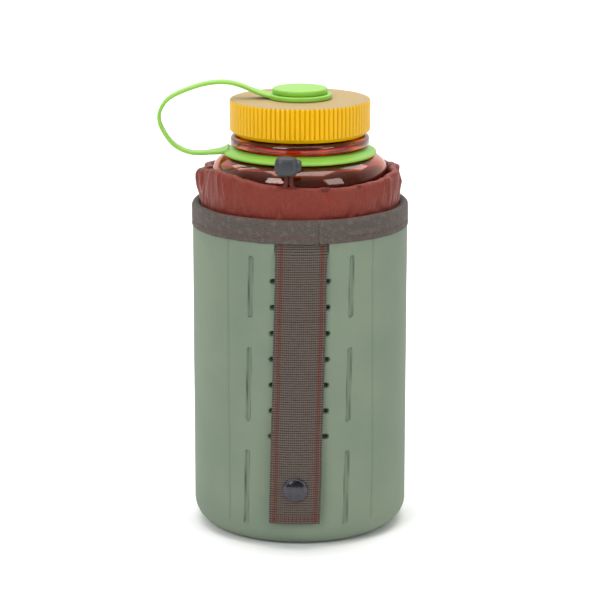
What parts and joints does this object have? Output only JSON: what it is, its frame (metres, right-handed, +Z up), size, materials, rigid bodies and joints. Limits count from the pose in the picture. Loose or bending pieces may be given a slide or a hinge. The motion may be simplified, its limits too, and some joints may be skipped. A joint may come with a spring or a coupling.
{
  "type": "insulated water bottle",
  "caption": "Wide-mouth amber bottle with a tethered screw cap, in an insulated foam sleeve with a drawcord collar and a snap-down webbing strap.",
  "frame": {"origin": "centre of the sleeve's flat underside, where it stands", "axes": "+Z up along the bottle's axis, -Y towards the strap, -X towards the tether's loop"},
  "size_m": [0.1276, 0.1155, 0.2292],
  "materials": {
    "foam_skin": "soft matte, embossed laminate over moulded foam",
    "pad_foam": "closed-cell foam",
    "lining": "smooth woven nylon",
    "binding_tape": "fine ribbed twill tape",
    "sewing_thread": "bonded polyester thread",
    "collar_nylon": "light plain-woven nylon, gathered",
    "elastic_cord": "braided sheath",
    "webbing": "flat woven webbing with contrast threads",
    "gunmetal": "dark plated, polished",
    "lock_plastic": "satin moulded acetal",
    "spring_steel": "drawn wire",
    "amber_bottle": "tinted clear copolyester, gloss",
    "tether_green": "satin flexible polymer",
    "cap_yellow": "moulded polypropylene, satin sides and matte top"
  },
  "bodies": {
    "sleeve": {"foam_shell": "foam_skin", "base_pad": "pad_foam", "lining_base": "lining", "lining_tube": "lining", "rim_binding": "binding_tape", "binding_stitches": "sewing_thread", "collar": "collar_nylon", "drawcord": "elastic_cord", "snap_stud": "gunmetal", "snap_post": "gunmetal", "strap_tab": "webbing"},
    "strap_top": {"strap_upper": "webbing"},
    "strap_end": {"strap_lower": "webbing", "snap_cap": "gunmetal", "snap_socket": "gunmetal"},
    "cord_lock": {"lock_body": "lock_plastic", "lock_spring": "spring_steel"},
    "lock_button": {"lock_plunger": "lock_plastic"},
    "bottle_body": {"bottle": "amber_bottle"},
    "neck_tether": {"tether_ring": "tether_green", "tether_strap_lower": "tether_green"},
    "cap_tether": {"tether_strap_upper": "tether_green", "tether_eye": "tether_green"},
    "cap_retainer": {"retainer_button": "tether_green"},
    "screw_cap": {"cap": "cap_yellow"}
  },
  "joints": [
    {"name": "bottle_lift", "type": "slide", "parent": "sleeve", "child": "bottle_body", "axis": [0, 0, 1], "range_m": [0, 0.18]},
    {"name": "tether_swivel", "type": "hinge", "parent": "bottle_body", "child": "neck_tether", "pos_m": [0, 0, 0.194], "axis": [0, 0, 1], "range_deg": [-255, 65]},
    {"name": "eye_lift", "type": "slide", "parent": "neck_tether", "child": "cap_tether", "axis": [0, 0, 1], "range_m": [0, 0.0064]},
    {"name": "cap_lift", "type": "slide", "parent": "bottle_body", "child": "cap_retainer", "axis": [0, 0, 1], "range_m": [0, 0.0064]},
    {"name": "cap_turn", "type": "hinge", "parent": "cap_retainer", "child": "screw_cap", "pos_m": [0, 0, 0.2197], "axis": [0, 0, 1], "range_deg": [0, 540]},
    {"name": "strap_swing", "type": "hinge", "parent": "sleeve", "child": "strap_top", "pos_m": [0, -0.05625, 0.14995], "axis": [-1, 0, 0], "range_deg": [0, 110]},
    {"name": "strap_fold", "type": "hinge", "parent": "strap_top", "child": "strap_end", "pos_m": [0, -0.05625, 0.085], "axis": [-1, 0, 0], "range_deg": [0, 65]},
    {"name": "lock_slide", "type": "slide", "parent": "sleeve", "child": "cord_lock", "axis": [0, 0, -1], "range_m": [0, 0.003]},
    {"name": "lock_press", "type": "slide", "parent": "cord_lock", "child": "lock_button", "axis": [-1, 0, 0], "range_m": [0, 0.0013], "stiffness_N_per_m": 500, "springref_m": -0.001, "deforming": ["lock_spring"]}
  ],
  "couplings": [
    {"joint": "eye_lift", "follows": "cap_turn", "m_per_rad": 0.00067376},
    {"joint": "cap_lift", "follows": "cap_turn", "m_per_rad": 0.00067376}
  ]
}
